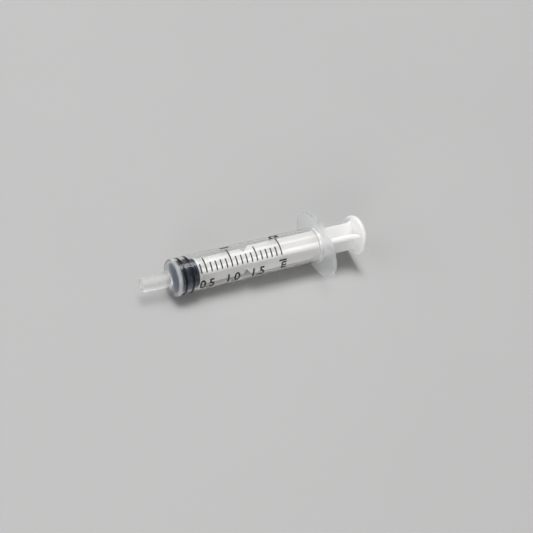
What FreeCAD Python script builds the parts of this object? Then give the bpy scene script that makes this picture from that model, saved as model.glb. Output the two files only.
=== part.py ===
import FreeCAD, Part
import math
import os
from FreeCAD import Vector

# Disposable 2 ml syringe with a plain slip nozzle.
# It is a clear barrel, its printed scale, a rubber stopper and a cross-finned plunger rod.
# The syringe lies along X with the centre of its nozzle tip at the origin.
# The thumb rest points to +X, the finger flange is widest along Y, and +Z is up.
# The plunger is fully home. All lengths are in millimetres and angles in degrees.

# Volume and barrel
nominal_volume_ml = 2.0
scale_step_ml = 0.1
barrel_outer_diameter = 10.6
barrel_wall = 0.84
barrel_length = 48.0
shoulder_slope = 20.0
shoulder_wall = 0.95
rim_radius = 0.45

# Nozzle, a male cone of 6 % taper with a straight channel
nozzle_length = 8.3
nozzle_tip_diameter = 3.97
nozzle_taper = 0.06
nozzle_tip_radius = 0.25
nozzle_root_radius = 0.5
channel_diameter = 1.5
channel_corner = 0.15
chamber_corner = 0.2

# Finger flange, an elliptical plate flush with the open end
flange_width = 22.2
flange_height = 14.2
flange_thickness = 1.4
flange_edge_bevel = 0.3
flange_root_radius = 0.6

# Ridge inside the open end that keeps the stopper in
ridge_height = 0.3
ridge_width = 1.1
ridge_setback = 2.2
ridge_foot_corner = 0.1
ridge_crown_corner = 0.35
mouth_radius = 0.4

# Printed scale, its angles measured from +Z towards -Y
zero_line_setback = 0.3
ink_thickness = 0.03
mark_width = 0.38
mark_foot_angle = 39.5
short_mark_angle = 29.8
half_mark_angle = 48.8
full_mark_angle = 59.8
steps_to_half_mark = 5

# Rubber stopper, with sealing rings around it and a socket behind
stopper_front_gap = 0.08
stopper_length = 5.9
stopper_shoulder_corner = 0.35
sealing_ring_clearance = 0.03
sealing_ring_width = 1.0
sealing_ring_count = 2
sealing_ring_pitch = 2.2
first_ring_setback = 1.6
sealing_ring_flank = 0.26
groove_depth = 0.38
ring_corner = 0.16
stopper_back_corner = 0.2

# Head of the rod, and the socket that it snaps into
neck_diameter = 3.0
neck_length = 1.2
head_diameter = 4.6
head_land = 0.7
head_nose_diameter = 2.4
head_length = 3.4
head_clearance = 0.05
neck_corner = 0.2
barb_corner = 0.15
head_corner = 0.3

# Plunger rod
rod_clearance = 0.11
front_disc_thickness = 0.9
disc_edge_corner = 0.2
fin_thickness = 1.0
fin_roll = 41.0
fin_root_radius = 0.4
fin_step = 0.45
notch_setback = 16.4
notch_width = 2.8
notch_depth = 1.75
notch_corner = 0.2
fin_flare = 0.75
fin_flare_radius = 2.6

# Thumb rest
thumb_gap = 12.2
thumb_diameter = 11.9
thumb_thickness = 1.4
thumb_edge_radius = 0.55

# How corners are finished: the smallest that is rounded rather than bevelled,
# and the largest share of a side that one corner takes
smallest_round = 0.42
largest_corner_share = 0.48

# How far a cutting shape runs past the surface that it cuts
cut_margin = 1.0

# Sizes that follow from the ones above
outer_radius = barrel_outer_diameter / 2
bore_radius = outer_radius - barrel_wall
slope = math.tan(math.radians(shoulder_slope))
nozzle_tip_r = nozzle_tip_diameter / 2
nozzle_root_r = nozzle_tip_r + nozzle_length * nozzle_taper / 2
rim_x = nozzle_length + (outer_radius - nozzle_root_r) * slope
open_end_x = rim_x + barrel_length
flange_x = open_end_x - flange_thickness
ridge_x = open_end_x - ridge_setback
ridge_radius = bore_radius - ridge_height
ring_radius = bore_radius - sealing_ring_clearance
stopper_radius = ring_radius - groove_depth
stopper_rear_x = rim_x + shoulder_wall - (outer_radius - stopper_radius) * slope
stopper_rear_x = stopper_rear_x + stopper_front_gap + stopper_length
rear_fin_radius = ridge_radius - rod_clearance
front_fin_radius = rear_fin_radius - fin_step
rod_disc_x = stopper_rear_x + head_clearance
thumb_x = open_end_x + thumb_gap
mm3_per_ml = 1000.0
scale_pitch = scale_step_ml * mm3_per_ml / (math.pi * bore_radius**2)


def shoulder_outside(radius):
    """X of the sloping outer face of the shoulder at this radius."""
    return rim_x - (outer_radius - radius) * slope


def shoulder_inside(radius):
    """X of the chamber's end wall at this radius."""
    return shoulder_outside(radius) + shoulder_wall


def towards(start, end):
    """Unit vector from one point to another, and the distance between them."""
    way = end - start
    return way.normalize(), start.distanceToPoint(end)


def rounded_outline(corners):
    """Closed wire in the XZ plane through (x, z, size) corners, small ones bevelled and the rest rounded."""
    points = [Vector(x, 0, z) for x, z, radius in corners]
    ends = []
    for i, corner in enumerate(corners):
        here = points[i]
        back, back_length = towards(here, points[i - 1])
        ahead, ahead_length = towards(here, points[(i + 1) % len(points)])
        if corner[2] == 0:
            ends.append((here, None, here))
            continue
        half_angle = back.getAngle(ahead) / 2
        reach = corner[2] / math.tan(half_angle)
        reach = min(reach, largest_corner_share * back_length, largest_corner_share * ahead_length)
        radius = reach * math.tan(half_angle)
        inward = (back + ahead).normalize()
        middle = here + inward * (radius / math.sin(half_angle) - radius)
        if corner[2] < smallest_round:
            middle = None
        ends.append((here + back * reach, middle, here + ahead * reach))
    edges = []
    for i, (start, middle, end) in enumerate(ends):
        edges.append(Part.LineSegment(ends[i - 1][2], start).toShape())
        if middle:
            edges.append(Part.Arc(start, middle, end).toShape())
        elif start != end:
            edges.append(Part.LineSegment(start, end).toShape())
    return Part.Wire(edges)


def turned(corners):
    """Solid of revolution about the X axis from an outline of (x, radius, corner size)."""
    face = Part.Face(rounded_outline(corners))
    return face.revolve(Vector(0, 0, 0), Vector(1, 0, 0), 360)


def rolled(shape, angle):
    """The same shape turned about the syringe's axis."""
    shape.rotate(Vector(0, 0, 0), Vector(1, 0, 0), angle)
    return shape


def nozzle_and_tube():
    """Outside of the barrel and nozzle: cone, sloping shoulder, tube and the root of the flange."""
    return turned(
        [
            (0, 0, 0),
            (0, nozzle_tip_r, nozzle_tip_radius),
            (nozzle_length, nozzle_root_r, nozzle_root_radius),
            (rim_x, outer_radius, rim_radius),
            (flange_x, outer_radius, flange_root_radius),
            (flange_x, outer_radius + 2 * flange_root_radius, 0),
            (open_end_x, outer_radius + 2 * flange_root_radius, 0),
            (open_end_x, 0, 0),
        ]
    )


def barrel_hollow():
    """Space inside the barrel: channel, sloping end wall, bore, retaining ridge and rounded mouth."""
    channel_radius = channel_diameter / 2
    ridge_front_x = ridge_x - ridge_width / 2
    ridge_rear_x = ridge_x + ridge_width / 2
    mouth_x = open_end_x - mouth_radius
    return turned(
        [
            (-cut_margin, 0, 0),
            (-cut_margin, channel_radius, 0),
            (shoulder_inside(channel_radius), channel_radius, channel_corner),
            (shoulder_inside(bore_radius), bore_radius, chamber_corner),
            (ridge_front_x, bore_radius, ridge_foot_corner),
            (ridge_x, ridge_radius, ridge_crown_corner),
            (ridge_rear_x, bore_radius, ridge_foot_corner),
            (mouth_x, bore_radius, mouth_radius),
            (open_end_x, bore_radius + mouth_radius, 0),
            (open_end_x + cut_margin, bore_radius + mouth_radius, 0),
            (open_end_x + cut_margin, 0, 0),
        ]
    )


def flange_plate():
    """Elliptical finger plate, its edges bevelled."""
    width_end = Vector(flange_x, flange_width / 2, 0)
    height_end = Vector(flange_x, 0, flange_height / 2)
    outline = Part.Ellipse(width_end, height_end, Vector(flange_x, 0, 0)).toShape()
    plate = Part.Face(Part.Wire([outline])).extrude(Vector(flange_thickness, 0, 0))
    rim = [e for e in plate.Edges if e.BoundBox.XLength < flange_thickness / 2]
    return plate.makeChamfer(min(flange_edge_bevel, largest_corner_share * flange_thickness), rim)


def barrel():
    """One clear moulding: nozzle, barrel and finger flange."""
    outside = nozzle_and_tube().fuse(flange_plate())
    return outside.cut(barrel_hollow()).removeSplitter()


def scale_mark(step):
    """One printed line of the scale, a thin arc of ink on the outside of the barrel."""
    sweep = short_mark_angle
    if step % steps_to_half_mark == 0:
        sweep = half_mark_angle
    if step % (2 * steps_to_half_mark) == 0:
        sweep = full_mark_angle
    front_x = rim_x + zero_line_setback + step * scale_pitch - mark_width / 2
    rear_x = front_x + mark_width
    ink_radius = outer_radius + ink_thickness
    corners = [(front_x, outer_radius), (front_x, ink_radius), (rear_x, ink_radius), (rear_x, outer_radius)]
    face = Part.Face(rounded_outline([(x, r, 0) for x, r in corners]))
    face = rolled(face, mark_foot_angle - sweep)
    return face.revolve(Vector(0, 0, 0), Vector(1, 0, 0), sweep)


def scale_print():
    """All the lines of the scale, from zero to the full volume."""
    first_step = max(0, math.ceil((rim_radius - zero_line_setback + mark_width / 2) / scale_pitch))
    last_step = round(nominal_volume_ml / scale_step_ml)
    return Part.makeCompound([scale_mark(step) for step in range(first_step, last_step + 1)])


def head_outline(gap):
    """Outline of the rod's snap head, or with a gap around it the outline of its socket."""
    barb_x = rod_disc_x - neck_length
    nose_x = rod_disc_x - head_length
    return [
        (rod_disc_x + cut_margin, 0, 0),
        (rod_disc_x + cut_margin, neck_diameter / 2 + gap, 0),
        (barb_x + gap, neck_diameter / 2 + gap, neck_corner),
        (barb_x + gap, head_diameter / 2 + gap, barb_corner),
        (barb_x - head_land - gap, head_diameter / 2 + gap, head_corner),
        (nose_x - gap, head_nose_diameter / 2 + gap, head_corner),
        (nose_x - gap, 0, 0),
    ]


def stopper_outline():
    """Outline of the stopper: a cone that meets the end wall, sealing rings, grooves and a flat back."""
    nose_x = shoulder_inside(0) + stopper_front_gap
    shoulder_x = shoulder_inside(stopper_radius) + stopper_front_gap
    front = [(nose_x, 0, 0), (shoulder_x, stopper_radius, stopper_shoulder_corner)]
    rings = []
    for n in range(sealing_ring_count):
        ring_x = shoulder_x + first_ring_setback + n * sealing_ring_pitch
        foot = (sealing_ring_width + sealing_ring_flank) / 2
        land = (sealing_ring_width - sealing_ring_flank) / 2
        rings.append((ring_x - foot, stopper_radius, ring_corner))
        rings.append((ring_x - land, ring_radius, ring_corner))
        rings.append((ring_x + land, ring_radius, ring_corner))
        rings.append((ring_x + foot, stopper_radius, ring_corner))
    back = [(stopper_rear_x, stopper_radius, stopper_back_corner), (stopper_rear_x, 0, 0)]
    return front + rings + back


def plunger_stopper():
    """Rubber stopper with its undercut socket."""
    return turned(stopper_outline()).cut(turned(head_outline(head_clearance)))


def rod_envelope():
    """Outline that the fins reach: a lower front run, a break notch, a higher rear run and a flare."""
    notch_x = rod_disc_x + notch_setback
    flare_x = thumb_x - fin_flare_radius
    return turned(
        [
            (rod_disc_x, 0, 0),
            (rod_disc_x, front_fin_radius, 0),
            (notch_x - notch_width / 2, front_fin_radius, notch_corner),
            (notch_x, rear_fin_radius - notch_depth, notch_corner),
            (notch_x + notch_width / 2, rear_fin_radius, notch_corner),
            (flare_x, rear_fin_radius, fin_flare_radius),
            (thumb_x, rear_fin_radius + fin_flare, 0),
            (thumb_x + thumb_thickness / 2, rear_fin_radius + fin_flare, 0),
            (thumb_x + thumb_thickness / 2, 0, 0),
        ]
    )


def distance_from_axis(edge):
    """How far the middle of an edge lies from the syringe's axis."""
    middle = edge.BoundBox.Center
    return math.hypot(middle.y, middle.z)


def crossed_fins():
    """Four fins in a cross along the rod, rounded where they meet."""
    half = fin_thickness / 2
    reach = rear_fin_radius + fin_flare + cut_margin
    corners = []
    for turn in range(4):
        quarter = math.radians(90 * turn)
        for across, out in ((half, half), (half, reach), (-half, reach)):
            y = across * math.cos(quarter) - out * math.sin(quarter)
            z = across * math.sin(quarter) + out * math.cos(quarter)
            corners.append(Vector(rod_disc_x, y, z))
    section = Part.Face(Part.makePolygon(corners + corners[:1]))
    cross = section.extrude(Vector(thumb_x + thumb_thickness / 2 - rod_disc_x, 0, 0))
    lengthways = [e for e in cross.Edges if e.BoundBox.XLength > fin_thickness]
    roots = [e for e in lengthways if distance_from_axis(e) < fin_thickness]
    return rolled(cross.makeFillet(fin_root_radius, roots), fin_roll)


def plunger_rod():
    """One white moulding: snap head, front disc, crossed fins and thumb rest."""
    disc_end_x = rod_disc_x + front_disc_thickness
    front_disc = turned(
        [
            (rod_disc_x, 0, 0),
            (rod_disc_x, rear_fin_radius, disc_edge_corner),
            (disc_end_x, rear_fin_radius, disc_edge_corner),
            (disc_end_x, 0, 0),
        ]
    )
    thumb_end_x = thumb_x + thumb_thickness
    thumb_rest = turned(
        [
            (thumb_x, 0, 0),
            (thumb_x, thumb_diameter / 2, thumb_edge_radius),
            (thumb_end_x, thumb_diameter / 2, thumb_edge_radius),
            (thumb_end_x, 0, 0),
        ]
    )
    head = turned(head_outline(0))
    fins = crossed_fins().common(rod_envelope())
    return front_disc.fuse([fins, thumb_rest, head]).removeSplitter()


pieces = {
    "barrel": barrel(),
    "scale_print": scale_print(),
    "plunger_stopper": plunger_stopper(),
    "plunger_rod": plunger_rod(),
}
os.makedirs("parts", exist_ok=True)
for name, shape in pieces.items():
    shape.exportStep("parts/" + name + ".step")
    box = shape.BoundBox
    print(name, shape.isValid(), len(shape.Solids), round(shape.Volume, 3))
    print("  x", round(box.XMin, 3), round(box.XMax, 3), "y", round(box.YMin, 3), round(box.YMax, 3))
    print("  z", round(box.ZMin, 3), round(box.ZMax, 3))
print("rim", round(rim_x, 3), "open end", round(open_end_x, 3), "pitch", round(scale_pitch, 4))
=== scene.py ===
import math

import bmesh
import bpy
from bpy.props import FloatProperty, FloatVectorProperty, IntProperty, PointerProperty
from mathutils import Euler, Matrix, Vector


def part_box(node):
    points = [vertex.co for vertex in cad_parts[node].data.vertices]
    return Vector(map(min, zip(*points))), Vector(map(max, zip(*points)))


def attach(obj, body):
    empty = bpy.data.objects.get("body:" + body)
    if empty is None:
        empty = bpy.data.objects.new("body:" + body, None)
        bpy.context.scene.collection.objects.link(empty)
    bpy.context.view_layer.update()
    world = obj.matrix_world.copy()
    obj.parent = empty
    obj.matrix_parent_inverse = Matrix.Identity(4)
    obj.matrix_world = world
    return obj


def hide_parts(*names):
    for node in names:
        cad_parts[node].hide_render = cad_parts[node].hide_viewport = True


# A 2 ml slip-tip syringe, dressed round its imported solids. It lies along X, its nozzle tip at the origin.
# The finger flange is widest along Y, and +Z is up.

bl_info = {
    "name": "Slip-tip Syringe",
    "version": (1, 0, 0),
    "blender": (4, 5, 0),
    "location": "View3D > Sidebar > Syringe",
    "description": "Models and finishes a 2 ml slip-tip syringe round its packed solids",
    "category": "Object",
}

MM = 0.001

# Vertices that are nearer to each other than this are merged.
WELD = 0.0005 * MM

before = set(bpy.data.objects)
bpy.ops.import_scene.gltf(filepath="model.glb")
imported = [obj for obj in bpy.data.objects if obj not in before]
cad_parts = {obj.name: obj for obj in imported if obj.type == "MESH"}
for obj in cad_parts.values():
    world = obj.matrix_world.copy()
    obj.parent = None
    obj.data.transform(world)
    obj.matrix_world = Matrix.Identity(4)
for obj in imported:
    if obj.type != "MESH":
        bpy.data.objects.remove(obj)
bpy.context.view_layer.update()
barrel_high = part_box("barrel")[1]
stopper_low, stopper_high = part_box("plunger_stopper")
rod_low, rod_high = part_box("plunger_rod")


def length(name, description, default):
    """A size that a user can change."""
    return FloatProperty(name=name, description=description, default=default, unit="LENGTH", precision=6)


def angle(name, description, degrees):
    """An angle that a user can change."""
    return FloatProperty(name=name, description=description, default=math.radians(degrees), subtype="ANGLE")


def share(name, description, default):
    """A value from nought to one that a user can change."""
    return FloatProperty(name=name, description=description, default=default, min=0, max=1, subtype="FACTOR")


def colour(name, description, default):
    """A colour that a user can change."""
    return FloatVectorProperty(
        name=name, description=description, default=default, size=3, min=0, max=1, subtype="COLOR"
    )


def power(name, description, default):
    """A lamp's power that a user can change."""
    return FloatProperty(name=name, description=description, default=default, unit="POWER")


class BarrelSizes(bpy.types.PropertyGroup):
    """Sizes of the clear barrel."""

    open_end: length("Open end", "Distance from the nozzle tip to the open end", barrel_high.x)
    tube_length: length("Tube length", "Length from the front rim to the open end", 48.0 * MM)
    outer_radius: length("Outer radius", "Radius of the tube outside", 5.3 * MM)
    wall: length("Wall", "Thickness of the tube's wall", 0.84 * MM)
    rim_round: length("Rim round", "Rounding of the front rim", 0.45 * MM)
    shoulder_slope: angle("Shoulder slope", "Slope of the shoulder behind the nozzle", 20)
    shoulder_wall: length("Shoulder wall", "Thickness of the shoulder along the axis", 0.95 * MM)
    nozzle_length: length("Nozzle length", "Length of the nozzle's cone", 8.3 * MM)
    nozzle_tip_radius: length("Nozzle tip radius", "Radius of the nozzle at its tip", 1.985 * MM)
    nozzle_taper: share("Nozzle taper", "Growth of the nozzle's diameter with its length", 0.06)
    nozzle_tip_round: length("Nozzle tip round", "Rounding of the nozzle's tip", 0.25 * MM)
    nozzle_root_round: length("Nozzle root round", "Rounding where the nozzle meets the shoulder", 0.5 * MM)
    channel_radius: length("Channel radius", "Radius of the channel through the nozzle", 0.75 * MM)
    channel_round: length("Channel round", "Rounding where the channel opens into the barrel", 0.15 * MM)
    chamber_round: length("Chamber round", "Rounding at the front of the bore", 0.2 * MM)
    flange_half_width: length("Flange half width", "Half of the finger flange's long axis", barrel_high.y)
    flange_half_height: length("Flange half height", "Half of the finger flange's short axis", barrel_high.z)
    flange_thickness: length("Flange thickness", "Thickness of the finger flange", 1.4 * MM)
    flange_edge_round: length("Flange edge round", "Rounding of the finger flange's edges", 0.4 * MM)
    flange_root_round: length("Flange root round", "Rounding where the tube meets the flange", 0.6 * MM)
    ridge_height: length("Ridge height", "Height of the ridge that keeps the stopper in", 0.3 * MM)
    ridge_width: length("Ridge width", "Width of the ridge that keeps the stopper in", 1.1 * MM)
    ridge_setback: length("Ridge setback", "Distance from the ridge to the open end", 2.2 * MM)
    mouth_round: length("Mouth round", "Rounding of the open end's inner edge", 0.4 * MM)


class PrintSizes(bpy.types.PropertyGroup):
    """Sizes and places of the printed numerals."""

    step: length("Step", "Distance between two lines of the scale", 1.6002 * MM)
    zero_line: length("Zero line", "Distance from the front rim to the zero line", 0.3 * MM)
    ink_thickness: length("Ink thickness", "How far the ink stands proud of the tube", 0.03 * MM)
    numeral_height: length("Numeral height", "Height of the large numerals beside the long lines", 2.7 * MM)
    unit_height: length("Unit height", "Height of the letters of the unit", 2.3 * MM)
    row_height: length("Row height", "Height of the numerals in the row below the scale", 2.7 * MM)
    numeral_angle: angle(
        "Numeral angle", "Place of the large numerals, from the top towards the scale's foot", -35
    )
    unit_angle: angle("Unit angle", "Place of the unit, from the top towards the scale's foot", 70)
    row_angle: angle("Row angle", "Place of the numeral row, from the top towards the scale's foot", 78)


class StopperSizes(bpy.types.PropertyGroup):
    """Sizes of the rubber stopper."""

    nose: length("Nose", "Distance from the nozzle tip to the stopper's nose", stopper_low.x)
    back: length("Back", "Distance from the nozzle tip to the stopper's flat back", 15.891 * MM)
    ring_squeeze: length("Ring squeeze", "How far the sealing rings press into the tube's wall", 0.02 * MM)
    side_radius: length(
        "Side radius", "Radius of the stopper's side beside the rings", stopper_high.y - 0.38 * MM
    )
    shoulder_round: length("Shoulder round", "Rounding where the cone meets the side", 0.35 * MM)
    first_ring: length("First ring", "Distance from the shoulder to the first ring's middle", 1.6 * MM)
    ring_pitch: length("Ring pitch", "Distance between the rings", 2.2 * MM)
    ring_width: length("Ring width", "Width of a sealing ring", 1.0 * MM)
    ring_flank: length("Ring flank", "Run of a ring's sloping flank", 0.26 * MM)
    ring_round: length("Ring round", "Rounding of a ring's corners", 0.14 * MM)
    ring_count: IntProperty(name="Ring count", description="Number of sealing rings", default=2, min=1)


class RodSizes(bpy.types.PropertyGroup):
    """Sizes of the plunger rod."""

    nose: length("Nose", "Distance from the nozzle tip to the snap head's nose", rod_low.x)
    rear: length("Rear", "Distance from the nozzle tip to the thumb rest's outer face", rod_high.x)
    thumb_radius: length("Thumb radius", "Radius of the thumb rest", rod_high.y)
    thumb_thickness: length("Thumb thickness", "Thickness of the thumb rest", 1.4 * MM)
    thumb_round: length("Thumb round", "Rounding of the thumb rest's edges", 0.55 * MM)
    disc_thickness: length("Disc thickness", "Thickness of the disc behind the stopper", 0.9 * MM)
    disc_round: length("Disc round", "Rounding of the front disc's edges", 0.2 * MM)
    fin_radius: length("Fin radius", "Reach of the fins along their rear run", 4.05 * MM)
    fin_step: length("Fin step", "How much lower the fins are along their front run", 0.45 * MM)
    fin_thickness: length("Fin thickness", "Thickness of a fin", 1.0 * MM)
    fin_round: length("Fin round", "Rounding of the fins' edges and roots", 0.17 * MM)
    fin_roll: angle("Fin roll", "Turn of the fins about the axis, from +Z towards -Y", -41)
    notch_setback: length("Notch setback", "Distance from the front disc to the notch", 16.4 * MM)
    notch_width: length("Notch width", "Width of the notch across the fins", 2.8 * MM)
    notch_depth: length("Notch depth", "Depth of the notch below the rear run", 1.75 * MM)
    flare: length("Flare", "How far the fins widen towards the thumb rest", 0.75 * MM)
    flare_length: length("Flare length", "Length over which the fins widen", 2.4 * MM)
    neck_radius: length("Neck radius", "Radius of the neck in front of the disc", 1.5 * MM)
    neck_length: length("Neck length", "Length of the neck in front of the disc", 1.2 * MM)
    head_radius: length("Head radius", "Radius of the snap head", 2.3 * MM)
    head_land: length("Head land", "Length of the snap head's straight side", 0.7 * MM)
    head_length: length("Head length", "Length of neck and snap head together", 3.4 * MM)
    nose_radius: length("Nose radius", "Radius of the snap head's flat nose", 1.2 * MM)


class Finishes(bpy.types.PropertyGroup):
    """Colours and surface qualities."""

    clear: colour("Clear plastic", "Tint of the clear plastic", (0.998, 0.99, 0.98))
    clearness: share("Clearness", "Share of light that the clear plastic lets through", 1.0)
    milk: colour("Milkiness", "Colour of the light that the plastic scatters", (0.96, 0.955, 0.94))
    # The shoulder's bluish scatter is a painted reflection: it stands in for the bluish reflection on the
    # stopper's nose behind it.
    shoulder: colour("Shoulder", "Colour of the light that the shoulder scatters", (0.66, 0.8, 0.98))
    flange: colour("Flange", "Colour of the light that the finger flange scatters", (0.93, 0.955, 0.975))
    corner: share("Corner haze", "Share of light that the front rim's corner scatters at each surface", 0.5)
    haze: share("Haze", "Share of light that the clear tube scatters at each surface", 0.004)
    milky: share("Milky haze", "Share of light that the nozzle scatters at each surface", 0.4)
    flange_haze: share("Flange haze", "Share of light that the finger flange scatters at each surface", 0.3)
    shade: share("Shade", "Share of light that each surface of the nozzle lets through to its shadow", 0.88)
    ink: colour("Ink", "Colour of the printed scale", (0.011, 0.011, 0.012))
    rubber: colour("Rubber", "Colour of the stopper", (0.004, 0.005, 0.007))
    # Painted reflection: a bluish colour that stands in for the tube's inner wall reflected off the stopper
    # where it stands clear of the wall.
    painted_reflection: colour("Film", "Colour of the stopper where its silicone film shows", (0.022, 0.034, 0.058))
    white: colour("White plastic", "Colour of the plunger rod", (0.925, 0.913, 0.899))


class StageSettings(bpy.types.PropertyGroup):
    """Floor, lamps and camera."""

    floor: colour("Floor", "Colour of the floor", (0.53, 0.528, 0.527))
    key_power: power("Key power", "Power of the lamp overhead", 93)
    rear_power: power("Rear power", "Power of the lamp that the tube mirrors", 0.75)
    side_power: power("Side power", "Power of the lamp before the nozzle", 20)
    front_power: power("Front power", "Power of the low lamp in front", 10)
    sky_power: power("Sky power", "Power of the wide lamp overhead", 1.5)
    sky: share("Sky strength", "Strength of the light from the surroundings", 0.085)
    backdrop: share("Backdrop strength", "Brightness of the pale backdrop behind and through things", 0.42)
    lens: FloatProperty(name="Lens", description="Focal length of the camera", default=71.33, unit="CAMERA")


def settings():
    """All the settings of the scene."""
    return bpy.context.scene.syringe


def deselect():
    """Leaves nothing selected, so that the next operator acts on new geometry alone."""
    bpy.ops.object.select_all(action="DESELECT")


def only(piece):
    """Selects one piece and makes it active."""
    deselect()
    piece.select_set(True)
    bpy.context.view_layer.objects.active = piece


def choose(test, kind="faces"):
    """In edit mode, selects just the faces or vertices that pass a test."""
    bpy.ops.mesh.select_mode(type={"verts": "VERT", "faces": "FACE"}[kind])
    bpy.ops.mesh.select_all(action="DESELECT")
    mesh = bmesh.from_edit_mesh(bpy.context.edit_object.data)
    for element in getattr(mesh, kind):
        element.select_set(bool(test(element)))
    mesh.select_flush_mode()
    bmesh.update_edit_mesh(bpy.context.edit_object.data)


def apply(piece, kind, **values):
    """Adds a modifier of this kind to a piece and applies it."""
    only(piece)
    modifier = piece.modifiers.new(kind.title(), kind)
    for name, value in values.items():
        setattr(modifier, name, value)
    bpy.ops.object.modifier_apply(modifier=modifier.name)


def smooth(piece, degrees=32):
    """Shades a piece smooth, apart from its sharp edges."""
    only(piece)
    bpy.ops.object.shade_smooth_by_angle(angle=math.radians(degrees))


def front_rim(b):
    """Distance from the nozzle tip to the barrel's front rim."""
    return b.open_end - b.tube_length


def rod_places(r):
    """Distances from the nozzle tip to the rod's front disc and to its thumb rest."""
    return r.nose + r.head_length, r.rear - r.thumb_thickness


# Steps of an arc, distance of the holding points beside it, the largest share of an outline's side that
# an arc takes, and the largest share of that for a holding point.
ARC_STEPS = 6
HOLD = 0.06 * MM
LARGEST_CORNER_SHARE = 0.44
LARGEST_HOLD_SHARE = 0.1


def rounded(corners):
    """Points along an outline of (x, radius, rounding) corners, with holding points beside each arc."""
    path = []
    for i, (x, radius, size) in enumerate(corners):
        here = Vector((x, radius))
        if size == 0:
            path.append(here)
            continue
        back = Vector(corners[i - 1][:2]) - here
        ahead = Vector(corners[(i + 1) % len(corners)][:2]) - here
        half_angle = back.angle(ahead) / 2
        room = LARGEST_CORNER_SHARE * min(back.length, ahead.length)
        reach = min(size / math.tan(half_angle), room)
        hold = min(HOLD, room * LARGEST_HOLD_SHARE)
        back.normalize()
        ahead.normalize()
        centre = here + (back + ahead).normalized() * (reach / math.cos(half_angle))
        start = here + back * reach - centre
        end = here + ahead * reach - centre
        sweep = start.angle(end)
        path.append(here + back * (reach + hold))
        for k in range(ARC_STEPS + 1):
            t = k / ARC_STEPS
            spoke = start * math.sin((1 - t) * sweep) + end * math.sin(t * sweep)
            path.append(centre + spoke / math.sin(sweep))
        path.append(here + ahead * (reach + hold))
    return path


def same_radii(point):
    """Both half axes of a round ring."""
    return point.y, point.y


def turned(name, path, closed=False, segments=144, radii=same_radii):
    """Mesh that grows ring by ring round the X axis: a ring is extruded, moved along the axis and resized.

    A closed path ends at its first ring again. An open one is capped at its first and last rings."""
    deselect()
    fill = "NOTHING" if closed else "NGON"
    bpy.ops.mesh.primitive_circle_add(
        vertices=segments, radius=1, fill_type=fill, location=(path[0].x, 0, 0), rotation=(0, math.pi / 2, 0)
    )
    piece = bpy.context.object
    piece.name = name
    piece.data.name = name
    bpy.ops.object.transform_apply(location=True, rotation=True, scale=True)
    bpy.ops.object.mode_set(mode="EDIT")
    bpy.ops.mesh.select_all(action="SELECT")
    wide, high = radii(path[0])
    bpy.ops.transform.resize(value=(1, wide, high), center_override=(path[0].x, 0, 0))
    rings = path[1:] + path[:1] if closed else path[1:]
    extrude = bpy.ops.mesh.extrude_edges_move if closed else bpy.ops.mesh.extrude_region_move
    x = path[0].x
    for point in rings:
        new_wide, new_high = radii(point)
        extrude(TRANSFORM_OT_translate={"value": (point.x - x, 0, 0)})
        x = point.x
        bpy.ops.transform.resize(value=(1, new_wide / wide, new_high / high), center_override=(x, 0, 0))
        wide, high = new_wide, new_high
    bpy.ops.mesh.select_all(action="SELECT")
    bpy.ops.mesh.remove_doubles(threshold=WELD)
    bpy.ops.mesh.normals_make_consistent(inside=False)
    bpy.ops.object.mode_set(mode="OBJECT")
    return piece


def barrel_outline(b):
    """Closed outline of the barrel: along the outside, round flange and mouth, and back along the bore."""
    rim = front_rim(b)
    bore = b.outer_radius - b.wall
    slope = math.tan(b.shoulder_slope)
    root_radius = b.nozzle_tip_radius + b.nozzle_length * b.nozzle_taper / 2
    flange = b.open_end - b.flange_thickness
    ridge = b.open_end - b.ridge_setback

    def inside(radius):
        """Where the shoulder's inner face is at this distance from the axis."""
        return rim + b.shoulder_wall - (b.outer_radius - radius) * slope

    return [
        (0, b.channel_radius, b.channel_round / 2),
        (0, b.nozzle_tip_radius, b.nozzle_tip_round),
        (b.nozzle_length, root_radius, b.nozzle_root_round),
        (rim, b.outer_radius, b.rim_round),
        (flange, b.outer_radius, b.flange_root_round),
        (flange, b.flange_half_width, b.flange_edge_round),
        (b.open_end, b.flange_half_width, b.flange_edge_round),
        (b.open_end, bore, b.mouth_round),
        (ridge + b.ridge_width / 2, bore, b.ridge_width / 4),
        (ridge, bore - b.ridge_height, b.ridge_width / 4),
        (ridge - b.ridge_width / 2, bore, b.ridge_width / 4),
        (inside(bore), bore, b.chamber_round),
        (inside(b.channel_radius), b.channel_radius, b.channel_round),
    ]


class SYRINGE_OT_barrel(bpy.types.Operator):
    """Model the clear barrel with its nozzle and finger flange"""

    bl_idname = "syringe.barrel"
    bl_label = "Barrel"

    def execute(self, context):
        b = settings().barrel
        rim = front_rim(b)
        root = b.outer_radius + b.flange_root_round
        edge = 2 * b.flange_edge_round
        plate_wide = b.flange_half_width - edge
        plate_high = b.flange_half_height - edge

        def flange_radii(point):
            """The flange's rings are elliptical, and pass into the round root."""
            if point.x < rim or point.y <= root:
                return point.y, point.y
            if point.y >= plate_wide:
                return point.y, point.y - b.flange_half_width + b.flange_half_height
            grown = (point.y - root) / (plate_wide - root)
            return point.y, root + grown * (plate_high - root)

        path = rounded(barrel_outline(b))
        piece = turned("barrel_shell", path, closed=True, segments=160, radii=flange_radii)
        smooth(piece)
        piece.data.materials.append(clear_plastic(settings().finishes))
        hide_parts("barrel")
        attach(piece, "barrel_body")
        return {"FINISHED"}


# Height of capitals as a share of the letters' size, thickening of the strokes as a share of their height,
# width of the strips that follow the tube, and height from which the letters are laid on.
CAPITALS = 0.7
BOLD_AROUND = 0.04
BOLD_ALONG = 0.028
LETTER_STRIP = 0.12 * MM
LETTER_LIFT = 2 * MM


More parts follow.
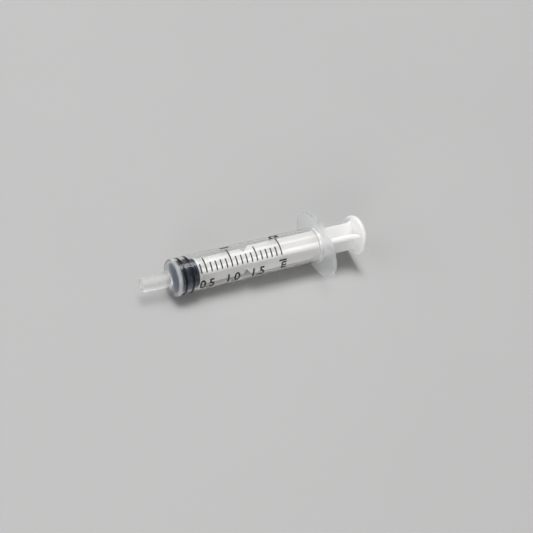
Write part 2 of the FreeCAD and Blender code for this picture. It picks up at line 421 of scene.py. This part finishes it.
class SYRINGE_OT_scale(bpy.types.Operator):
    """Ink the printed lines of the scale, and print the numerals and the unit"""

    bl_idname = "syringe.scale"
    bl_label = "Scale"

    def execute(self, context):
        b = settings().barrel
        p = settings().printing
        ink = printing_ink(settings().finishes)
        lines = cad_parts["scale_print"]
        lines.data.materials.clear()
        lines.data.materials.append(ink)
        zero = front_rim(b) + p.zero_line
        # Name, words, steps from the zero line, angle, height, and whether it reads round the tube.
        texts = [
            ("numeral_1", "1", 10.25, p.numeral_angle, p.numeral_height, True),
            ("numeral_2", "2", 20.15, p.numeral_angle, p.numeral_height, True),
            ("unit_ml", "ml", 20.2, p.unit_angle, p.unit_height, True),
        ]
        for steps in (5, 10, 15):
            words = "%.1f" % (steps / 10)
            texts.append(("row_numeral_%d" % steps, words, steps, p.row_angle, p.row_height, False))
        parts = [
            wrapped_text(name, words, zero + steps * p.step, place, height, around)
            for name, words, steps, place, height, around in texts
        ]
        only(parts[0])
        for part in parts:
            part.select_set(True)
        bpy.ops.object.join()
        piece = parts[0]
        piece.name = "scale_numerals"
        piece.data.name = "scale_numerals"
        piece.data.materials.clear()
        piece.data.materials.append(ink)
        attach(piece, "barrel_body")
        return {"FINISHED"}


def wrapped_text(name, words, x, place, height, around):
    """Flat lettering that is cut into strips, laid on the tube at its place and given the ink's thickness.

    Lettering that reads around the tube has its tops towards the nozzle. The rest reads along the tube."""
    b = settings().barrel
    p = settings().printing
    deselect()
    bpy.ops.object.text_add()
    text = bpy.context.object
    text.name = name
    text.data.body = words
    text.data.align_x = "CENTER"
    text.data.align_y = "CENTER"
    text.data.size = height / CAPITALS
    text.data.offset = (BOLD_AROUND if around else BOLD_ALONG) * height
    text.data.resolution_u = 6
    bpy.ops.object.convert(target="MESH")
    piece = bpy.context.object
    bpy.ops.object.mode_set(mode="EDIT")
    bpy.ops.mesh.select_all(action="SELECT")
    bpy.ops.mesh.remove_doubles(threshold=WELD)
    across = Vector((1, 0, 0)) if around else Vector((0, 1, 0))
    extent = max(abs(across.dot(v.co)) for v in bmesh.from_edit_mesh(piece.data).verts)
    strips = int(extent / LETTER_STRIP)
    for k in range(-strips, strips + 1):
        bpy.ops.mesh.select_all(action="SELECT")
        bpy.ops.mesh.bisect(plane_co=across * LETTER_STRIP * k, plane_no=across)
    bpy.ops.object.mode_set(mode="OBJECT")
    lift = b.outer_radius + LETTER_LIFT
    piece.location = (x, -lift * math.sin(place), lift * math.cos(place))
    turn = math.pi / 2 if around else 0
    piece.rotation_euler = (Euler((place, 0, 0)).to_matrix() @ Euler((0, 0, turn)).to_matrix()).to_euler()
    bpy.context.view_layer.update()
    apply(
        piece,
        "SHRINKWRAP",
        target=bpy.data.objects["barrel_shell"],
        wrap_method="PROJECT",
        use_project_z=True,
        use_negative_direction=True,
        use_positive_direction=False,
        wrap_mode="ON_SURFACE",
    )
    apply(piece, "SOLIDIFY", thickness=p.ink_thickness, offset=1, use_even_offset=True)
    bpy.ops.object.transform_apply(location=True, rotation=True, scale=True)
    return piece


# Roundings of the stopper's back, its socket's corners and its socket's inner end, the clearance round the
# snap head, and the radius of the small face that closes the nose and the socket.
STOPPER_BACK_ROUND = 0.2 * MM
SOCKET_CORNER_ROUND = 0.06 * MM
SOCKET_END_ROUND = 0.15 * MM
SOCKET_GAP = 0.05 * MM
STOPPER_POLE = 0.02 * MM


class SYRINGE_OT_stopper(bpy.types.Operator):
    """Model the rubber stopper with its sealing rings and socket"""

    bl_idname = "syringe.stopper"
    bl_label = "Stopper"

    def execute(self, context):
        s = settings().stopper
        b = settings().barrel
        rod = settings().rod
        side = s.side_radius
        ring_radius = b.outer_radius - b.wall + s.ring_squeeze
        slope = math.tan(b.shoulder_slope)
        shoulder = s.nose + side * slope
        outline = [(s.nose, STOPPER_POLE, 0), (shoulder, side, s.shoulder_round)]
        for ring in range(s.ring_count):
            middle = shoulder + s.first_ring + ring * s.ring_pitch
            foot = (s.ring_width + s.ring_flank) / 2
            land = (s.ring_width - s.ring_flank) / 2
            outline += [
                (middle - foot, side, s.ring_round),
                (middle - land, ring_radius, s.ring_round),
                (middle + land, ring_radius, s.ring_round),
                (middle + foot, side, s.ring_round),
            ]
        gap = SOCKET_GAP
        barb = s.back + gap - rod.neck_length
        nose = s.back + gap - rod.head_length
        outline += [
            (s.back, side, STOPPER_BACK_ROUND),
            (s.back, rod.neck_radius + gap, SOCKET_CORNER_ROUND),
            (barb + gap, rod.neck_radius + gap, SOCKET_CORNER_ROUND),
            (barb + gap, rod.head_radius + gap, SOCKET_CORNER_ROUND),
            (barb - rod.head_land - gap, rod.head_radius + gap, SOCKET_END_ROUND),
            (nose - gap, rod.nose_radius + gap, SOCKET_END_ROUND),
            (nose - gap, STOPPER_POLE, 0),
        ]
        piece = turned("stopper_rubber", rounded(outline))
        smooth(piece, degrees=50)
        piece.data.materials.append(black_rubber(settings().finishes))
        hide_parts("plunger_stopper")
        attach(piece, "stopper_body")
        return {"FINISHED"}


# Half the width of the notch's floor, the number of steps in which the fins widen, the steps of a fin's
# rounding and the sharpness of the edges that get one, and how near a face or a vertex lies to the place
# that it is chosen by.
NOTCH_FLOOR = 0.12 * MM
FLARE_STEPS = 9
FIN_ROUND_STEPS = 3
FIN_EDGE_ANGLE = math.radians(50)
NEAR = 0.01 * MM


def fin_reach(r, x):
    """How far the fins reach from the axis at this place along the rod."""
    disc, thumb = rod_places(r)
    low = r.fin_radius - r.fin_step
    notch = disc + r.notch_setback
    half = r.notch_width / 2
    if x <= notch - half:
        return low
    if x < notch:
        share_down = (x - notch + half) / half
        return low + share_down * (r.fin_radius - r.notch_depth - low)
    if x < notch + half:
        share_up = (x - notch) / half
        return r.fin_radius - r.notch_depth + share_up * r.notch_depth
    flare = (x - thumb + r.flare_length) / r.flare_length
    if flare <= 0:
        return r.fin_radius
    return r.fin_radius + r.flare * (1 - math.sqrt(max(0, 1 - min(flare, 1) ** 2)))


def crossed_fins(r):
    """Four fins: a square core is cut into lengths, its sides are drawn out and the fins' edges are moved."""
    disc, thumb = rod_places(r)
    start = disc + r.disc_thickness / 2
    end = thumb + r.thumb_thickness / 2
    middle = ((start + end) / 2, 0, 0)
    half = r.fin_thickness / 2
    notch = disc + r.notch_setback
    deselect()
    bpy.ops.mesh.primitive_cube_add(size=1, location=middle)
    piece = bpy.context.object
    piece.name = "crossed_fins"
    bpy.ops.object.mode_set(mode="EDIT")
    bpy.ops.mesh.select_all(action="SELECT")
    core = (end - start, r.fin_thickness, r.fin_thickness)
    bpy.ops.transform.resize(value=core, center_override=middle)
    bpy.ops.object.mode_set(mode="OBJECT")
    bpy.ops.object.transform_apply(location=True, rotation=True, scale=True)
    bpy.ops.object.mode_set(mode="EDIT")
    stations = [notch + x for x in (-r.notch_width / 2, -NOTCH_FLOOR, NOTCH_FLOOR, r.notch_width / 2)]
    stations += [thumb - r.flare_length * (1 - k / FLARE_STEPS) for k in range(FLARE_STEPS + 1)]
    for x in stations:
        bpy.ops.mesh.select_all(action="SELECT")
        bpy.ops.mesh.bisect(plane_co=(x, 0, 0), plane_no=(1, 0, 0))
    for way in (Vector((0, 1, 0)), Vector((0, 0, 1)), Vector((0, -1, 0)), Vector((0, 0, -1))):
        choose(lambda f: (f.calc_center_median() * Vector((0, 1, 1)) - way * half).length < NEAR)
        bpy.ops.mesh.extrude_region_move(TRANSFORM_OT_translate={"value": way * (r.fin_radius - half)})
        places = sorted({round(v.co.x, 7) for v in bmesh.from_edit_mesh(piece.data).verts})
        for x in places:
            choose(lambda v: abs(v.co.x - x) < NEAR / 10 and v.co.dot(way) > r.fin_radius - NEAR, "verts")
            bpy.ops.transform.translate(value=way * (fin_reach(r, x) - r.fin_radius))
    bpy.ops.mesh.select_all(action="SELECT")
    bpy.ops.transform.rotate(value=r.fin_roll, orient_axis="X", center_override=(0, 0, 0))
    bpy.ops.mesh.normals_make_consistent(inside=False)
    bpy.ops.object.mode_set(mode="OBJECT")
    apply(
        piece,
        "BEVEL",
        width=r.fin_round,
        segments=FIN_ROUND_STEPS,
        limit_method="ANGLE",
        angle_limit=FIN_EDGE_ANGLE,
    )
    return piece


# Roundings of the snap head, its barb, its neck and the neck's root, and the radius of the small face
# that closes each end.
HEAD_ROUND = 0.25 * MM
BARB_ROUND = 0.12 * MM
NECK_ROUND = 0.15 * MM
NECK_ROOT_ROUND = 0.1 * MM
ROD_POLE = 0.05 * MM


class SYRINGE_OT_rod(bpy.types.Operator):
    """Model the plunger rod: snap head, front disc, crossed fins and thumb rest"""

    bl_idname = "syringe.rod"
    bl_label = "Plunger rod"

    def execute(self, context):
        r = settings().rod
        disc, thumb = rod_places(r)
        barb = disc - r.neck_length
        head = [
            (r.nose, ROD_POLE, 0),
            (r.nose, r.nose_radius, HEAD_ROUND),
            (barb - r.head_land, r.head_radius, HEAD_ROUND),
            (barb, r.head_radius, BARB_ROUND),
            (barb, r.neck_radius, NECK_ROUND),
            (disc, r.neck_radius, NECK_ROOT_ROUND),
            (disc, r.fin_radius, r.disc_round),
            (disc + r.disc_thickness, r.fin_radius, r.disc_round),
            (disc + r.disc_thickness, ROD_POLE, 0),
        ]
        rest = [
            (thumb, ROD_POLE, 0),
            (thumb, r.thumb_radius, r.thumb_round),
            (r.rear, r.thumb_radius, r.thumb_round),
            (r.rear, ROD_POLE, 0),
        ]
        piece = crossed_fins(r)
        for part in (turned("snap_head", rounded(head)), turned("thumb_rest", rounded(rest))):
            apply(piece, "BOOLEAN", operation="UNION", solver="EXACT", object=part)
            bpy.data.objects.remove(part)
        piece.name = "plunger_white"
        piece.data.name = "plunger_white"
        smooth(piece, degrees=35)
        piece.data.materials.clear()
        piece.data.materials.append(white_plastic(settings().finishes))
        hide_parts("plunger_rod")
        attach(piece, "rod_body")
        return {"FINISHED"}


def new_material(name):
    """An empty node material and its output."""
    material = bpy.data.materials.new(name)
    material.use_nodes = True
    nodes = material.node_tree.nodes
    nodes.clear()
    output = nodes.new("ShaderNodeOutputMaterial")
    return material, nodes, material.node_tree.links, output


# The stretch of a noise's values that its patterns are spread over.
NOISE_LOW = 0.3
NOISE_HIGH = 0.7


def noise(nodes, links, scale, detail=3.0, stretch=(1, 1, 1)):
    """Noise on Object coordinates, its scale in features to the metre."""
    place = nodes.new("ShaderNodeTexCoord")
    mapping = nodes.new("ShaderNodeMapping")
    mapping.inputs["Scale"].default_value = stretch
    texture = nodes.new("ShaderNodeTexNoise")
    texture.inputs["Scale"].default_value = scale
    texture.inputs["Detail"].default_value = detail
    links.new(place.outputs["Object"], mapping.inputs["Vector"])
    links.new(mapping.outputs["Vector"], texture.inputs["Vector"])
    return texture.outputs["Fac"]


def ranged(nodes, links, source, start, end, low=0, high=1):
    """Maps a value that runs from start to end to one that runs from low to high."""
    mapped = nodes.new("ShaderNodeMapRange")
    mapped.inputs["From Min"].default_value = start
    mapped.inputs["From Max"].default_value = end
    mapped.inputs["To Min"].default_value = low
    mapped.inputs["To Max"].default_value = high
    links.new(source, mapped.inputs["Value"])
    return mapped.outputs["Result"]


def spread(nodes, links, pattern, low, high):
    """Maps a noise's values to a range."""
    return ranged(nodes, links, pattern, NOISE_LOW, NOISE_HIGH, low, high)


def two_tone(nodes, links, pattern, dark, light):
    """A colour between two tones, by a noise's values."""
    ramp = nodes.new("ShaderNodeValToRGB")
    for element, position, tone in zip(ramp.color_ramp.elements, (NOISE_LOW, NOISE_HIGH), (dark, light)):
        element.position = position
        element.color = (*tone, 1)
    links.new(pattern, ramp.inputs["Fac"])
    return ramp.outputs["Color"]


def calculated(nodes, links, operation, *values):
    """The result of a Math node on plain numbers and other nodes' values."""
    node = nodes.new("ShaderNodeMath")
    node.operation = operation
    for socket, value in zip(node.inputs, values):
        if isinstance(value, float):
            socket.default_value = value
        else:
            links.new(value, socket)
    return node.outputs["Value"]


def mixed(nodes, links, first, second, part=None):
    """Two shaders mixed, half and half or with the second one's part given by a value."""
    mix = nodes.new("ShaderNodeMixShader")
    links.new(first, mix.inputs[1])
    links.new(second, mix.inputs[2])
    if part is not None:
        links.new(part, mix.inputs["Fac"])
    return mix.outputs["Shader"]


def bump(nodes, links, shader, height, strength, distance):
    """Small relief on a shader's surface."""
    relief = nodes.new("ShaderNodeBump")
    relief.inputs["Strength"].default_value = strength
    relief.inputs["Distance"].default_value = distance
    links.new(height, relief.inputs["Height"])
    links.new(relief.outputs["Normal"], shader.inputs["Normal"])


def toned(base, factor):
    """A lighter or darker tone of a colour."""
    return tuple(min(1, channel * factor) for channel in base)


def place_on_axis(nodes, links):
    """Distance from the nozzle tip along the syringe's axis."""
    place = nodes.new("ShaderNodeTexCoord")
    split = nodes.new("ShaderNodeSeparateXYZ")
    links.new(place.outputs["Object"], split.inputs["Vector"])
    return split.outputs["X"]


def distance_from_axis(nodes, links):
    """Distance from the syringe's axis."""
    place = nodes.new("ShaderNodeTexCoord")
    across = nodes.new("ShaderNodeVectorMath")
    across.operation = "MULTIPLY"
    across.inputs[1].default_value = (0, 1, 1)
    radius = nodes.new("ShaderNodeVectorMath")
    radius.operation = "LENGTH"
    links.new(place.outputs["Object"], across.inputs[0])
    links.new(across.outputs["Vector"], radius.inputs[0])
    return radius.outputs["Value"]


# The length of syringe that a ramp covers, in millimetres.
RAMP_REACH = 60


def along(nodes, links, stops):
    """A value or colour that changes along the syringe, by (place, value) stops.

    Places are millimetres from the nozzle tip, up to the ramp's reach."""
    ramp = nodes.new("ShaderNodeValToRGB")
    elements = ramp.color_ramp.elements
    while len(elements) < len(stops):
        elements.new(0.5)
    for element, (x, value) in zip(elements, stops):
        element.position = x / RAMP_REACH
        element.color = (*value, 1) if isinstance(value, tuple) else (value, value, value, 1)
    part = calculated(nodes, links, "DIVIDE", place_on_axis(nodes, links), RAMP_REACH * MM)
    links.new(part, ramp.inputs["Fac"])
    return ramp.outputs["Color"]


# Where the haze in the front rim's corner is centred, and where it starts and is full.
CORNER_SETBACK = 0.1 * MM
CORNER_REACH = 1.0 * MM
CORNER_CORE = 0.5 * MM


def corner_haze(nodes, links, most):
    """Haze that gathers in the rounded corner of the front rim, by distance from the rim's circle."""
    b = settings().barrel
    point = nodes.new("ShaderNodeCombineXYZ")
    distance = nodes.new("ShaderNodeVectorMath")
    distance.operation = "DISTANCE"
    distance.inputs[1].default_value = (front_rim(b) + CORNER_SETBACK, b.outer_radius, 0)
    links.new(place_on_axis(nodes, links), point.inputs["X"])
    links.new(distance_from_axis(nodes, links), point.inputs["Y"])
    links.new(point.outputs["Vector"], distance.inputs[0])
    return ranged(nodes, links, distance.outputs["Value"], CORNER_REACH, CORNER_CORE, 0, most)


# Places where the barrel's finish changes, in millimetres from the nozzle tip: the ends of the shoulder's
# slope, the ends of the clear tube and the front of the finger flange.
SLOPE_START = 8.5
SLOPE_END = 9.05
TUBE_START = 10.2
TUBE_END = 54.5
FLANGE_FRONT = 56.2


def clear_plastic(f):
    """Clear polypropylene with faint flow lines along it.

    The nozzle and the shoulder are frosted, the tube is clear and the finger flange is milky."""
    material, nodes, links, output = new_material("clear_polypropylene")
    shader = nodes.new("ShaderNodeBsdfPrincipled")
    shader.inputs["IOR"].default_value = 1.49
    shader.inputs["Transmission Weight"].default_value = f.clearness
    flow = noise(nodes, links, scale=900, detail=2, stretch=(0.12, 1, 1))
    grain = noise(nodes, links, scale=5200)
    tint = two_tone(nodes, links, flow, toned(f.clear, 0.985), toned(f.clear, 1.01))
    links.new(tint, shader.inputs["Base Color"])
    frost = [(0.5, 0.5), (1.5, 0.28), (9, 0.2), (TUBE_START, 0.04), (TUBE_END, 0.04), (FLANGE_FRONT, 0.16)]
    roughness = calculated(nodes, links, "MULTIPLY_ADD", grain, 0.04, along(nodes, links, frost))
    links.new(roughness, shader.inputs["Roughness"])
    bump(nodes, links, shader, flow, strength=0.12, distance=0.02 * MM)

    # Light that the milky parts scatter, in front and through them.
    milk = tuple(f.milk)
    # The bluish band on the shoulder's slope is a painted reflection of the stopper's nose behind it.
    bluish = tuple(f.shoulder)
    slope = [(8.2, milk), (SLOPE_START, bluish), (SLOPE_END, bluish), (9.35, milk)]
    milkiness = along(nodes, links, slope + [(TUBE_END, milk), (56, tuple(f.flange))])
    glow = nodes.new("ShaderNodeBsdfTranslucent")
    chalk = nodes.new("ShaderNodeBsdfDiffuse")
    links.new(milkiness, glow.inputs["Color"])
    links.new(milkiness, chalk.inputs["Color"])
    scatter = mixed(nodes, links, glow.outputs["BSDF"], chalk.outputs["BSDF"])
    front = [(7.6, f.milky), (8.7, f.milky / 5), (TUBE_START, f.haze)]
    hazes = along(nodes, links, front + [(TUBE_END, f.haze), (FLANGE_FRONT, f.flange_haze)])
    haze = calculated(nodes, links, "MAXIMUM", hazes, corner_haze(nodes, links, f.corner))
    body = mixed(nodes, links, shader.outputs["BSDF"], scatter, haze)

    # Shadows and soft light pass straight through, a little dimmed by the milky parts.
    shades = [(8.6, f.shade), (TUBE_START, 1), (TUBE_END, 1), (FLANGE_FRONT, 0.9)]
    through = nodes.new("ShaderNodeBsdfTransparent")
    links.new(along(nodes, links, shades), through.inputs["Color"])
    ray = nodes.new("ShaderNodeLightPath").outputs
    unseen = calculated(nodes, links, "MAXIMUM", ray["Is Shadow Ray"], ray["Is Diffuse Ray"])
    whole = mixed(nodes, links, body, through.outputs["BSDF"], unseen)
    links.new(whole, output.inputs["Surface"])
    return material


def printing_ink(f):
    """Printed ink: nearly black, with slightly uneven cover."""
    material, nodes, links, output = new_material("printing_ink")
    shader = nodes.new("ShaderNodeBsdfPrincipled")
    shader.inputs["Specular IOR Level"].default_value = 0.25
    cover = noise(nodes, links, scale=2600, detail=4)
    tone = two_tone(nodes, links, cover, toned(f.ink, 0.8), toned(f.ink, 1.9))
    links.new(tone, shader.inputs["Base Color"])
    links.new(spread(nodes, links, cover, 0.38, 0.55), shader.inputs["Roughness"])
    bump(nodes, links, shader, cover, strength=0.25, distance=0.01 * MM)
    through = nodes.new("ShaderNodeBsdfTransparent")
    through.inputs["Color"].default_value = (0.7, 0.7, 0.7, 1)
    ray = nodes.new("ShaderNodeLightPath").outputs
    whole = mixed(nodes, links, shader.outputs["BSDF"], through.outputs["BSDF"], ray["Is Shadow Ray"])
    links.new(whole, output.inputs["Surface"])
    return material


# How far inside the rings' reach the painted reflection begins to fade, and where it is gone.
REFLECTION_FADES = 0.16 * MM
REFLECTION_GONE = 0.06 * MM


def black_rubber(f):
    """Moulded rubber: the rings pressed black against the wall, the rest given a painted bluish reflection of
    the tube's inner wall.
    """
    material, nodes, links, output = new_material("black_rubber")
    shader = nodes.new("ShaderNodeBsdfPrincipled")
    shader.inputs["Specular IOR Level"].default_value = 0.2
    mottle = noise(nodes, links, scale=700, detail=4)
    grain = noise(nodes, links, scale=9000, detail=2)
    radius = distance_from_axis(nodes, links)
    # Bare black rubber where the rings press on the wall, painted bluish reflection everywhere else.
    pressed = ranged(nodes, links, radius, stopper_high.y - REFLECTION_FADES, stopper_high.y - REFLECTION_GONE)
    painted_reflection = two_tone(nodes, links, mottle, toned(f.painted_reflection, 0.85), toned(f.painted_reflection, 1.2))
    bare = two_tone(nodes, links, mottle, toned(f.rubber, 0.8), toned(f.rubber, 1.5))
    # The Mix node's colours are its inputs 6 and 7 and its output 2.
    blend = nodes.new("ShaderNodeMix")
    blend.data_type = "RGBA"
    links.new(pressed, blend.inputs[0])
    links.new(painted_reflection, blend.inputs[6])
    links.new(bare, blend.inputs[7])
    links.new(blend.outputs[2], shader.inputs["Base Color"])
    links.new(spread(nodes, links, mottle, 0.3, 0.45), shader.inputs["Roughness"])
    bump(nodes, links, shader, grain, strength=0.2, distance=0.02 * MM)
    links.new(shader.outputs["BSDF"], output.inputs["Surface"])
    return material


def white_plastic(f):
    """White polypropylene: satin, slightly translucent, with long faint flow marks."""
    material, nodes, links, output = new_material("white_polypropylene")
    shader = nodes.new("ShaderNodeBsdfPrincipled")
    shader.inputs["Specular IOR Level"].default_value = 0.3
    shader.inputs["Subsurface Weight"].default_value = 0.85
    shader.inputs["Subsurface Scale"].default_value = 2.2 * MM
    shader.inputs["Subsurface Radius"].default_value = (1, 0.96, 0.92)
    flow = noise(nodes, links, scale=420, detail=4, stretch=(0.15, 1, 1))
    grain = noise(nodes, links, scale=6500)
    tone = two_tone(nodes, links, flow, toned(f.white, 0.97), toned(f.white, 1.01))
    links.new(tone, shader.inputs["Base Color"])
    links.new(spread(nodes, links, grain, 0.27, 0.38), shader.inputs["Roughness"])
    bump(nodes, links, shader, grain, strength=0.12, distance=0.02 * MM)
    links.new(shader.outputs["BSDF"], output.inputs["Surface"])
    return material


def floor_paint(s):
    """Plain pale floor with the faintest unevenness."""
    material, nodes, links, output = new_material("floor_paint")
    shader = nodes.new("ShaderNodeBsdfPrincipled")
    shader.inputs["Specular IOR Level"].default_value = 0.2
    uneven = noise(nodes, links, scale=12)
    tone = two_tone(nodes, links, uneven, toned(s.floor, 0.99), toned(s.floor, 1.01))
    links.new(tone, shader.inputs["Base Color"])
    links.new(spread(nodes, links, uneven, 0.6, 0.7), shader.inputs["Roughness"])
    links.new(shader.outputs["BSDF"], output.inputs["Surface"])
    return material


# The floor's width in metres and its gap below the syringe, the colour of the surroundings, the camera's
# place and its turn in degrees, and the point that all the lamps face.
FLOOR_SIZE = 2.4
RESTING_GAP = 0.02 * MM
SURROUNDINGS = (0.93, 0.93, 0.93, 1)
CAMERA_PLACE = Vector((-102.896, -139.071, 229.738)) * MM
CAMERA_TURN = (37.6883, -15.7093, -26.7511)
LAMP_TARGET = Vector((35, 0, 0)) * MM

# Each lamp's name, place and width in metres, and the setting that holds its power.
LAMPS = (
    ("key_lamp", (0.13, 1.44, 3.4), 1.2, "key_power"),
    ("rear_lamp", (0.4, 0.36, 0.8), 0.32, "rear_power"),
    ("side_lamp", (-2.4, 0.4, 1.5), 2.0, "side_power"),
    ("front_lamp", (-0.9, -1.2, 0.4), 0.8, "front_power"),
    ("sky_lamp", (0, 0.5, 1.1), 1.2, "sky_power"),
)


def lamp(name, place, width, watts):
    """A square soft lamp that faces the middle of the syringe."""
    deselect()
    bpy.ops.object.light_add(type="AREA", location=place)
    light = bpy.context.object
    light.name = name
    light.rotation_euler = (LAMP_TARGET - Vector(place)).to_track_quat("-Z", "Y").to_euler()
    light.data.shape = "SQUARE"
    light.data.size = width
    light.data.energy = watts


def lay_floor(b, s):
    """The floor, tilted so that the front rim and the finger flange both rest on it."""
    rim = front_rim(b) + b.rim_round
    foot = b.open_end - b.flange_thickness / 2
    fall = math.atan2(b.flange_half_height - b.outer_radius, foot - rim)
    level = -b.outer_radius + rim * math.tan(fall) - RESTING_GAP
    deselect()
    bpy.ops.mesh.primitive_plane_add(size=FLOOR_SIZE)
    floor = bpy.context.object
    floor.name = "floor"
    floor.rotation_euler = (0, fall, 0)
    floor.location = (0, 0, level)
    bpy.ops.object.transform_apply(location=True, rotation=True, scale=True)
    floor.data.materials.append(floor_paint(s))


def light_surroundings(s):
    """Dim light from all round, which is seen as a pale backdrop behind and through things."""
    world = bpy.data.worlds.new("surroundings")
    bpy.context.scene.world = world
    world.use_nodes = True
    nodes = world.node_tree.nodes
    links = world.node_tree.links
    background = nodes["Background"]
    background.inputs["Color"].default_value = SURROUNDINGS
    ray = nodes.new("ShaderNodeLightPath").outputs
    seen = calculated(nodes, links, "MAXIMUM", ray["Is Camera Ray"], ray["Is Transmission Ray"])
    links.new(ranged(nodes, links, seen, 0, 1, s.sky, s.backdrop), background.inputs["Strength"])


def set_camera(s):
    """The camera, where the photograph was taken from."""
    camera = bpy.data.objects.new("camera", bpy.data.cameras.new("camera"))
    bpy.context.scene.collection.objects.link(camera)
    camera.location = CAMERA_PLACE
    camera.rotation_euler = [math.radians(turn) for turn in CAMERA_TURN]
    camera.data.lens = s.lens
    camera.data.clip_start = 1 * MM
    bpy.context.scene.camera = camera


class SYRINGE_OT_stage(bpy.types.Operator):
    """Set up the floor, the lamps, the surroundings and the camera"""

    bl_idname = "syringe.stage"
    bl_label = "Stage"

    def execute(self, context):
        s = settings().stage
        lay_floor(settings().barrel, s)
        for name, place, width, setting in LAMPS:
            lamp(name, place, width, getattr(s, setting))
        light_surroundings(s)
        set_camera(s)
        bpy.context.scene.view_settings.view_transform = "Standard"
        return {"FINISHED"}


class SyringeSettings(bpy.types.PropertyGroup):
    """Everything that can be set."""

    barrel: PointerProperty(type=BarrelSizes)
    printing: PointerProperty(type=PrintSizes)
    stopper: PointerProperty(type=StopperSizes)
    rod: PointerProperty(type=RodSizes)
    finishes: PointerProperty(type=Finishes)
    stage: PointerProperty(type=StageSettings)


OPERATORS = (SYRINGE_OT_barrel, SYRINGE_OT_scale, SYRINGE_OT_stopper, SYRINGE_OT_rod, SYRINGE_OT_stage)


class SYRINGE_PT_panel(bpy.types.Panel):
    """Sidebar panel with the settings and the steps"""

    bl_idname = "SYRINGE_PT_panel"
    bl_label = "Syringe"
    bl_space_type = "VIEW_3D"
    bl_region_type = "UI"
    bl_category = "Syringe"

    def draw(self, context):
        for operator in OPERATORS:
            self.layout.operator(operator.bl_idname)
        for group in ("barrel", "printing", "stopper", "rod", "finishes", "stage"):
            box = self.layout.box()
            values = getattr(context.scene.syringe, group)
            for name in values.__annotations__:
                box.prop(values, name)


GROUPS = (BarrelSizes, PrintSizes, StopperSizes, RodSizes, Finishes, StageSettings, SyringeSettings)
CLASSES = GROUPS + OPERATORS + (SYRINGE_PT_panel,)


def register():
    """Makes the settings, the steps and the panel known."""
    for item in CLASSES:
        bpy.utils.register_class(item)
    bpy.types.Scene.syringe = PointerProperty(type=SyringeSettings)


def unregister():
    """Takes the settings, the steps and the panel away again."""
    del bpy.types.Scene.syringe
    for item in reversed(CLASSES):
        bpy.utils.unregister_class(item)


def main():
    """Models every piece in turn and sets up the stage."""
    register()
    bpy.ops.syringe.barrel()
    bpy.ops.syringe.scale()
    bpy.ops.syringe.stopper()
    bpy.ops.syringe.rod()
    bpy.ops.syringe.stage()


if __name__ == "__main__":
    main()
